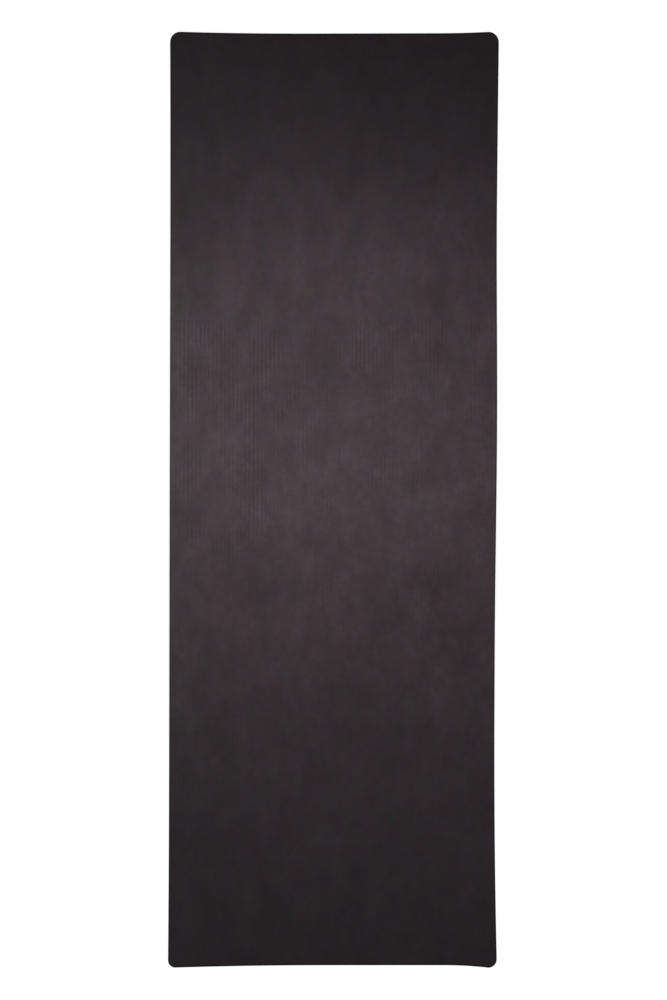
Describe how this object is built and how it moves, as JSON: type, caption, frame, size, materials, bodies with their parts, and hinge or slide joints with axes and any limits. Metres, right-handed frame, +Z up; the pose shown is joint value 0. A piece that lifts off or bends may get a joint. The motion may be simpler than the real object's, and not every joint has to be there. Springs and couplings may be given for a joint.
{
  "type": "yoga mat",
  "caption": "Flat exercise mat with rounded corners: a matte suede face laminated to a ribbed foam rubber base.",
  "frame": {"origin": "centre of the mat's footprint, on the plane of the floor that the lands between its grip grooves stand on", "axes": "+Z up, out of the suede face; +Y along the length, towards the picture's top edge; +X across the width, towards the picture's right"},
  "size_m": [0.65, 1.85, 0.0045],
  "materials": {
    "suede": "matte napped microfibre suede, plum charcoal",
    "film": "thin satin hot-melt film",
    "rubber": "matte black foamed natural rubber with embossed grooves"
  },
  "bodies": {
    "root": {"suede_face": "suede", "bond_film": "film", "rubber_base": "rubber"}
  },
  "joints": []
}
